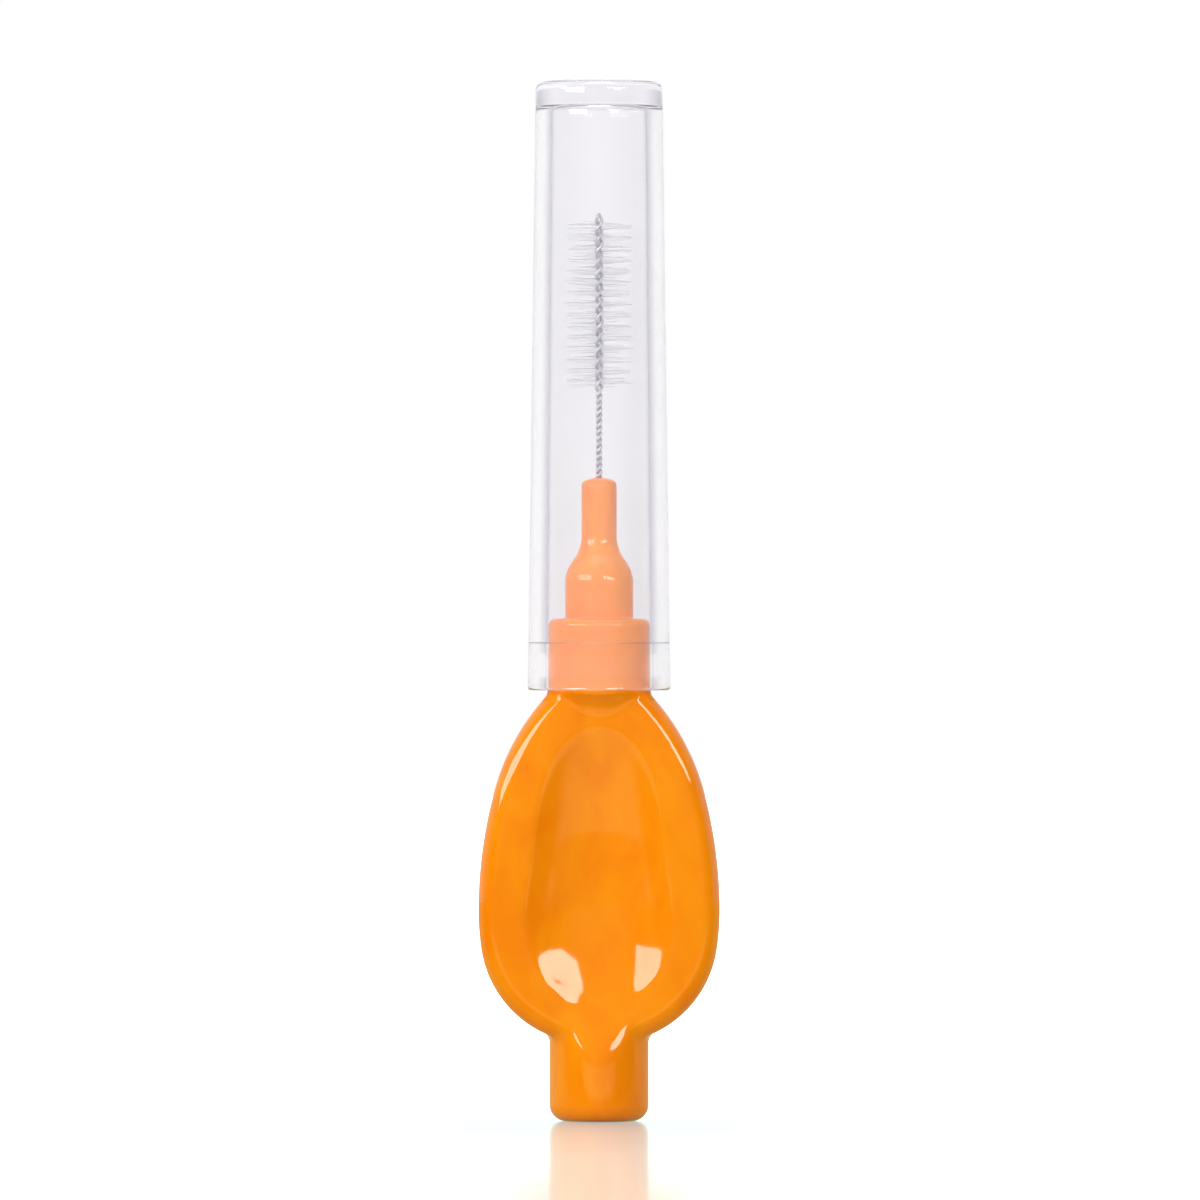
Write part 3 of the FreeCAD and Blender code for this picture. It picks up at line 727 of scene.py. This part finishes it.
class Shading:
    """A shader tree that is being built."""

    def __init__(self, tree):
        self.tree = tree
        self.new = tree.nodes.new
        self.link = tree.links.new
        tree.nodes.clear()

    def split(self, vector):
        """The X, Y and Z of a vector."""
        node = self.new("ShaderNodeSeparateXYZ")
        self.link(vector, node.inputs[0])
        return node.outputs

    def span(self, source, low, high, start=0.3, end=0.7):
        """Brings a number that runs from start to end to the range from low to high."""
        node = self.new("ShaderNodeMapRange")
        for key, item in zip(("From Min", "From Max", "To Min", "To Max"), (start, end, low, high)):
            node.inputs[key].default_value = item
        self.link(source, node.inputs["Value"])
        return node.outputs[0]

    def number(self, operation, one, other=0.0):
        """Arithmetic on two sockets or numbers."""
        node = self.new("ShaderNodeMath")
        node.operation = operation
        for place, item in zip(node.inputs, (one, other)):
            if isinstance(item, float):
                place.default_value = item
            else:
                self.link(item, place)
        return node.outputs[0]

    def rays(self):
        """Rays from the eye, mirrored rays, rays straight through clear plastic, and mirrorings."""
        path = self.new("ShaderNodeLightPath").outputs
        through = path["Is Transmission Ray"]
        straight = self.number("SUBTRACT", through, path["Diffuse Depth"])
        return SimpleNamespace(
            eye=path["Is Camera Ray"], clear=self.number("MAXIMUM", straight, 0.0),
            mirror=self.number("SUBTRACT", path["Is Glossy Ray"], through),
            mirrorings=path["Glossy Depth"],
        )

    def mix(self, amount, one, other):
        """A shader between two shaders."""
        node = self.new("ShaderNodeMixShader")
        self.link(amount, node.inputs[0])
        self.link(one.outputs[0], node.inputs[1])
        self.link(other.outputs[0], node.inputs[2])
        return node

    def between(self, amount, one, other):
        """A colour between two colours."""
        node = self.new("ShaderNodeMix")
        node.data_type = "RGBA"
        first, second = (place for place in node.inputs if place.type == "RGBA")
        first.default_value = (*one, 1)
        second.default_value = (*other, 1)
        self.link(amount, node.inputs[0])
        return next(place for place in node.outputs if place.type == "RGBA")


class Finish(Shading):
    """A material that is being built, round one Principled shader unless it is bare."""

    def __init__(self, name, bare=False):
        self.material = bpy.data.materials.new(name)
        self.material.use_nodes = True
        super().__init__(self.material.node_tree)
        self.end = self.new("ShaderNodeOutputMaterial").inputs["Surface"]
        self.place = self.new("ShaderNodeTexCoord").outputs["Object"]
        if not bare:
            self.shader = self.new("ShaderNodeBsdfPrincipled")
            self.link(self.shader.outputs[0], self.end)

    def set(self, **inputs):
        """Sets the shader's inputs by name, with words joined by underscores."""
        for key, item in inputs.items():
            self.shader.inputs[key.replace("_", " ")].default_value = item

    def noise(self, scale, detail=3.0, stretch=(1, 1, 1), warp=0.0):
        """A noise pattern in object space, in marks for each metre."""
        mapping = self.new("ShaderNodeMapping")
        mapping.inputs["Scale"].default_value = stretch
        self.link(self.place, mapping.inputs["Vector"])
        noise = self.new("ShaderNodeTexNoise")
        for key, item in (("Scale", scale), ("Detail", detail), ("Distortion", warp)):
            noise.inputs[key].default_value = item
        self.link(mapping.outputs[0], noise.inputs["Vector"])
        return noise.outputs["Fac"]

    def two_colours(self, pattern, one, other):
        """Colours the shader by a pattern."""
        self.link(self.between(pattern, one, other), self.shader.inputs["Base Color"])

    def roughen(self, pattern, low, high):
        """Varies the shader's roughness by a pattern."""
        self.link(self.span(pattern, low, high), self.shader.inputs["Roughness"])

    def bump(self, pattern, depth, strength):
        """Bends the shader's normal by a pattern."""
        node = self.new("ShaderNodeBump")
        node.inputs["Distance"].default_value = depth
        node.inputs["Strength"].default_value = strength
        self.link(pattern, node.inputs["Height"])
        self.link(node.outputs[0], self.shader.inputs["Normal"])

    def lets_lamps_through(self, tint):
        """Lets light from lamps pass, so that what is inside is lit."""
        ray = self.new("ShaderNodeLightPath").outputs
        clear = self.new("ShaderNodeBsdfTransparent")
        clear.inputs["Color"].default_value = (*tint, 1)
        self.link(self.mix(ray["Is Shadow Ray"], self.shader, clear).outputs[0], self.end)


def shades(base, darker, lighter):
    """A darker and a lighter shade of a colour."""
    return [tuple(part * factor for part in base) for factor in (darker, lighter)]


def orange_moulding(settings):
    """Glossy orange plastic with faint flow marks and a little orange peel."""
    finish = Finish("orange_moulding")
    flow = finish.noise(scale=330, detail=6.0, stretch=(1.0, 1.0, 0.6), warp=0.8)
    marks = finish.span(flow, 0.0, 1.0, start=0.36, end=0.66)
    finish.two_colours(marks, settings.body_colour, settings.flow_colour)
    worn = finish.noise(scale=420)
    finish.roughen(worn, settings.roughness * 0.7, settings.roughness * 1.5)
    peel = finish.noise(scale=700, detail=2.0, stretch=(1.0, 1.0, 0.7))
    finish.bump(peel, depth=0.01 * MM, strength=0.35)
    finish.set(IOR=1.5, Specular_Tint=(1.0, 0.88, 0.82, 1.0))
    return finish.material


def stem_steel(settings):
    """Drawn steel wire with fine marks along it."""
    finish = Finish("stem_steel")
    marks = finish.noise(scale=5200, stretch=(1.0, 1.0, 0.4))
    finish.two_colours(marks, *shades(settings.steel, darker=0.72, lighter=1.2))
    finish.roughen(marks, 0.28, 0.42)
    finish.set(Metallic=1.0)
    return finish.material


def brush_nylon(settings):
    """Milky nylon filaments."""
    finish = Finish("brush_nylon")
    tone = finish.noise(scale=1800, detail=2.0)
    finish.two_colours(tone, *shades(settings.nylon, darker=0.93, lighter=1.05))
    finish.roughen(tone, 0.32, 0.5)
    finish.set(IOR=1.53, Transmission_Weight=0.85)
    return finish.material


def clear_plastic(settings):
    """Clear plastic with a slight haze and faint flow marks, tinted at its thick end."""
    finish = Finish("clear_plastic")
    haze = finish.noise(scale=260, detail=4.0, stretch=(1.0, 1.0, 0.3), warp=0.6)
    fade = 0.2 * MM
    end = finish.span(
        finish.split(finish.place)["Z"], 0.0, 1.0,
        start=settings.bore_end - fade, end=settings.bore_end + fade,
    )
    cloud = finish.span(haze, 0.0, 0.15)
    finish.two_colours(finish.number("MAXIMUM", end, cloud), settings.tint, settings.end_tint)
    finish.roughen(haze, 0.02, 0.05)
    flow = finish.noise(scale=520, detail=2.0, stretch=(1.0, 1.0, 0.35))
    finish.bump(flow, depth=0.01 * MM, strength=0.2)
    finish.set(IOR=1.49, Transmission_Weight=settings.clearness)
    finish.lets_lamps_through(settings.lamp_tint)
    return finish.material


# Operators

def add_piece(name, mesh, material):
    """A new object at the origin that shows a mesh in a material."""
    mesh.materials.append(material)
    piece = bpy.data.objects.new(name, mesh)
    bpy.context.scene.collection.objects.link(piece)
    return piece


class BRUSH_OT_handle(Operator):
    """Makes the orange handle and hides the plain solid"""
    bl_idname = "brush.handle"
    bl_label = "Handle"

    def execute(self, context):
        settings = context.scene.brush_handle
        mesh = handle_mesh(in_mm(settings))
        piece = add_piece("handle_moulding", mesh, orange_moulding(settings))
        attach(piece, "handle")
        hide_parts("handle")
        return {"FINISHED"}


class BRUSH_OT_wire(Operator):
    """Twists the wire and hides the plain solid"""
    bl_idname = "brush.wire"
    bl_label = "Twisted wire"

    def execute(self, context):
        size = context.scene.brush_wire
        head = context.scene.brush_bristles
        piece = mesh_from_tree("stem_wire", wire_tree({
            "Wire diameter": size.diameter, "Bare radius": size.bare_radius,
            "Head radius": size.head_radius, "Bare pitch": size.bare_pitch,
            "Head pitch": size.head_pitch, "Foot height": WIRE_LOW.z + size.diameter / 4,
            "Head height": head.bottom, "Bend height": size.bend, "Points": size.points,
            "Material": stem_steel(size),
        }))
        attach(piece, "handle")
        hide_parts("twisted_wire")
        return {"FINISHED"}


class BRUSH_OT_bristles(Operator):
    """Sets the bristles in the wire and hides the plain rows"""
    bl_idname = "brush.bristles"
    bl_label = "Bristles"

    def execute(self, context):
        size = context.scene.brush_bristles
        wire = context.scene.brush_wire
        piece = mesh_from_tree("bristles", bristle_tree({
            "Brush diameter": size.diameter, "Filament diameter": size.filament,
            "Step": size.row_height / size.per_row, "Count": size.row_count * size.per_row,
            "Head height": size.bottom, "Head pitch": wire.head_pitch,
            "Bare pitch": wire.bare_pitch, "Spread": size.spread, "Tilt": size.tilt,
            "Sway": size.sway, "Seed": size.seed, "Material": brush_nylon(size),
        }))
        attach(piece, "handle")
        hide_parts(*ROWS)
        return {"FINISHED"}


class BRUSH_OT_cap(Operator):
    """Turns the clear cap and hides the plain solid"""
    bl_idname = "brush.cap"
    bl_label = "Cap"

    def execute(self, context):
        settings = context.scene.brush_cap
        size = in_mm(settings)
        step_fillet, step_edge = 0.03, 0.04
        profile = rounded([
            (0, size.bore_end, 0),
            (size.bore_top, size.bore_end, size.bore_corner),
            (size.bore_radius, size.step, step_fillet),
            (size.lead_radius, size.step, step_edge),
            (size.lead_radius, size.rim, size.rim_edge),
            (size.outer_radius, size.rim, size.rim_edge),
            (size.outer_top, size.top, size.crown),
            (0, size.top, 0),
        ])
        angles = np.linspace(0, math.tau, size.sides, endpoint=False)
        unit = np.column_stack((np.cos(angles), np.sin(angles)))
        mesh = mesh_from_rings("clear_cap", turned_rows(profile, unit))
        piece = add_piece("clear_cap", mesh, clear_plastic(settings))
        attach(piece, "cap")
        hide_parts("cap")
        return {"FINISHED"}


class BRUSH_OT_stage(Operator):
    """Sets the camera, the white floor, the lamps and the room"""
    bl_idname = "brush.stage"
    bl_label = "Stage"

    def execute(self, context):
        settings = context.scene.brush_stage
        scene = context.scene
        scene.view_settings.view_transform = "Standard"
        camera = bpy.data.objects.new("camera", bpy.data.cameras.new("camera"))
        scene.collection.objects.link(camera)
        camera.location = (settings.view_side, -settings.view_distance, settings.view_height)
        camera.rotation_euler = (math.pi / 2, 0, 0)
        camera.data.lens = settings.lens
        camera.data.sensor_width = 36
        camera.data.clip_start = 10 * MM
        scene.camera = camera
        set_floor(settings)
        set_room(scene, settings)
        for name, brightness, corners in SOFTBOXES:
            add_softbox(name, corners, brightness)
        return {"FINISHED"}


# Name, brightness and corners of each lamp, a corner by its degrees to the right and up
SOFTBOXES = (
    ("left_softbox", 10.0, ((-27, 9.7), (-62, 9.7), (-76, 13), (-74, 20), (-46, 26), (-27, 23))),
    ("right_softbox", 12.0, ((27, 11), (38, 11), (55, 13.5), (46, 16.5), (12, 24), (16, 15))),
    ("overhead_softbox", 3.1, ((-45, 52), (45, 52), (135, 80), (-135, 80))),
)


def stage_panel(name, points, material):
    """A flat panel through its corner points."""
    mesh = bpy.data.meshes.new(name)
    mesh.from_pydata(points, [], [tuple(range(len(points)))])
    panel = add_piece(name, mesh, material)
    return panel


def add_softbox(name, corners, brightness, distance=550 * MM, middle=30 * MM):
    """A soft panel of light, at a distance from a middle that is above the foot."""
    points = []
    for side, lift in corners:
        turn, rise = math.radians(side), math.radians(lift)
        out = distance * math.cos(rise)
        points.append((
            out * math.sin(turn), -out * math.cos(turn), middle + distance * math.sin(rise)
        ))
    finish = Finish(name, bare=True)
    glow = finish.new("ShaderNodeEmission")
    glow.inputs["Strength"].default_value = brightness
    finish.link(glow.outputs[0], finish.end)
    panel = stage_panel(name, points, finish.material)
    panel.visible_camera = False
    panel.visible_shadow = False


def set_floor(settings):
    """A white floor with a shadow and a mirroring strip, which mirrors show as a bright sheet."""
    finish = Finish("white_floor", bare=True)
    new, number, span = finish.new, finish.number, finish.span
    rays = finish.rays()
    spot = finish.split(finish.place)
    before = number("SUBTRACT", 0.0, spot["Y"])
    aside = number("ABSOLUTE", spot["X"])

    # Where each change starts and ends
    shadow = 8 * MM, 60 * MM
    strip_side, strip_back, strip_front = (9 * MM, 14 * MM), (-6 * MM, 0.0), (130 * MM, 170 * MM)
    glance = 0.85, 0.95
    sheet_side = -9 * MM, 9 * MM
    sheet_front = settings.sheet_reach, settings.sheet_reach + 10 * MM
    floor_behind = -10 * MM, 20 * MM

    # Paper in the light, white to the eye and through clear plastic
    paper = new("ShaderNodeBsdfDiffuse")
    paper.inputs["Color"].default_value = (settings.paper,) * 3 + (1,)
    far = new("ShaderNodeVectorMath")
    far.operation = "LENGTH"
    finish.link(finish.place, far.inputs[0])
    eye = number("MAXIMUM", rays.eye, rays.clear)
    white = span(far.outputs["Value"], settings.foot_white, 1.0, *shadow)
    glow = new("ShaderNodeEmission")
    extra = number("MULTIPLY", rays.eye, settings.glow)
    finish.link(number("ADD", extra, 1.0), glow.inputs["Strength"])
    lit = finish.mix(number("MULTIPLY", eye, white), paper, glow)

    # The mirroring strip in front of the brush, glossy only at a glance
    mirror = new("ShaderNodeBsdfGlossy")
    mirror.inputs["Color"].default_value = (*settings.mirror_colour, 1)
    mirror.inputs["Roughness"].default_value = settings.mirror_roughness
    glancing = new("ShaderNodeLayerWeight").outputs["Facing"]
    strip = span(aside, settings.mirror, 0.0, *strip_side)
    for limit in (
        span(before, 0.0, 1.0, *strip_back), span(before, 1.0, 0.0, *strip_front),
        span(glancing, 0.0, 1.0, *glance), rays.eye,
    ):
        strip = number("MULTIPLY", strip, limit)
    shiny = finish.mix(strip, lit, mirror)

    # What mirrors show of the floor: a sheet that widens to the front, and the floor behind
    past_start = number("SUBTRACT", before, settings.sheet_start)
    edge = number("MULTIPLY", past_start, settings.sheet_flare)
    across = span(number("SUBTRACT", aside, edge), 1.0, settings.front, *sheet_side)
    along = span(before, settings.sheet, settings.card, *sheet_front)
    behind = span(before, settings.floor_back, 0.0, *floor_behind)
    sheet = new("ShaderNodeEmission")
    sheet.inputs["Color"].default_value = (*settings.sheet_colour, 1)
    brightness = number("MAXIMUM", number("MULTIPLY", across, along), behind)
    finish.link(brightness, sheet.inputs["Strength"])
    finish.link(finish.mix(rays.mirror, shiny, sheet).outputs[0], finish.end)
    reach = settings.floor_reach
    corners = [(-reach, -reach, 0), (reach, -reach, 0), (reach, reach, 0), (-reach, reach, 0)]
    stage_panel("floor", corners, finish.material)


def set_room(scene, settings):
    """Light from all round: white to the eye, and as bright as set for every other kind of ray."""
    scene.world = bpy.data.worlds.new("studio")
    scene.world.use_nodes = True
    room = Shading(scene.world.node_tree)
    number, span = room.number, room.span
    rays = room.rays()
    way = room.split(room.new("ShaderNodeTexCoord").outputs["Generated"])

    # Where each change starts and ends, by the part of a ray's way that goes back or aside
    mirror_back, card_side = (-0.45, 0.1), (0.25, 0.5)
    wall_edge, wing_edge, soft_back = (0.45, 0.85), (0.0, 0.3), (0.1, 0.6)

    # Mirrors show a white wall behind, and a card round the camera
    behind = span(way["Y"], 0.0, 1.0, *mirror_back)
    card = span(number("ABSOLUTE", way["X"]), settings.card, settings.front, *card_side)
    mirrored = number("MULTIPLY", rays.mirror, number("MAXIMUM", behind, card))

    # Clear plastic shows the white wall with dimmer wings, which run on after a mirroring
    wall = span(way["Y"], settings.wings, 1.0, *wall_edge)
    bright = number("MAXIMUM", wall, span(way["Y"], 1.0, settings.wings, *wing_edge))
    turned = number("MINIMUM", rays.mirrorings, 1.0)
    loss = number("MULTIPLY", turned, number("SUBTRACT", bright, wall))
    bright = number("SUBTRACT", bright, loss)
    clear = number("MAXIMUM", rays.eye, number("MULTIPLY", rays.clear, bright))

    # Soft light for everything else, more of it from behind
    seen = number("MAXIMUM", number("MAXIMUM", rays.mirror, rays.clear), rays.eye)
    soft = span(way["Y"], settings.room, settings.back_light, *soft_back)
    diffuse = number("MULTIPLY", number("SUBTRACT", 1.0, seen), soft)

    shade = room.new("ShaderNodeBackground")
    dimmed = number("MULTIPLY", rays.clear, number("SUBTRACT", 1.0, bright))
    room.link(room.between(dimmed, (1, 1, 1), settings.wing_colour), shade.inputs["Color"])
    strength = number("ADD", diffuse, number("MAXIMUM", clear, mirrored))
    room.link(strength, shade.inputs["Strength"])
    room.link(shade.outputs[0], room.new("ShaderNodeOutputWorld").inputs["Surface"])


class BRUSH_PT_sidebar(Panel):
    """Lists the pieces of the brush"""
    bl_idname = "BRUSH_PT_sidebar"
    bl_label = "Interdental brush"
    bl_space_type = "VIEW_3D"
    bl_region_type = "UI"
    bl_category = "Brush"

    def draw(self, context):
        for operator in OPERATORS:
            self.layout.operator(operator.bl_idname)


SETTINGS = {
    "brush_handle": HandleSettings,
    "brush_wire": WireSettings,
    "brush_bristles": BristleSettings,
    "brush_cap": CapSettings,
    "brush_stage": StageSettings,
}
OPERATORS = (BRUSH_OT_handle, BRUSH_OT_wire, BRUSH_OT_bristles, BRUSH_OT_cap, BRUSH_OT_stage)
CLASSES = (*SETTINGS.values(), *OPERATORS, BRUSH_PT_sidebar)


def register():
    for cls in CLASSES:
        bpy.utils.register_class(cls)
    for name, group in SETTINGS.items():
        setattr(bpy.types.Scene, name, PointerProperty(type=group))


def unregister():
    for name in SETTINGS:
        delattr(bpy.types.Scene, name)
    for cls in reversed(CLASSES):
        bpy.utils.unregister_class(cls)


def main():
    register()
    bpy.ops.brush.handle()
    bpy.ops.brush.wire()
    bpy.ops.brush.bristles()
    bpy.ops.brush.cap()
    bpy.ops.brush.stage()


if __name__ == "__main__":
    main()
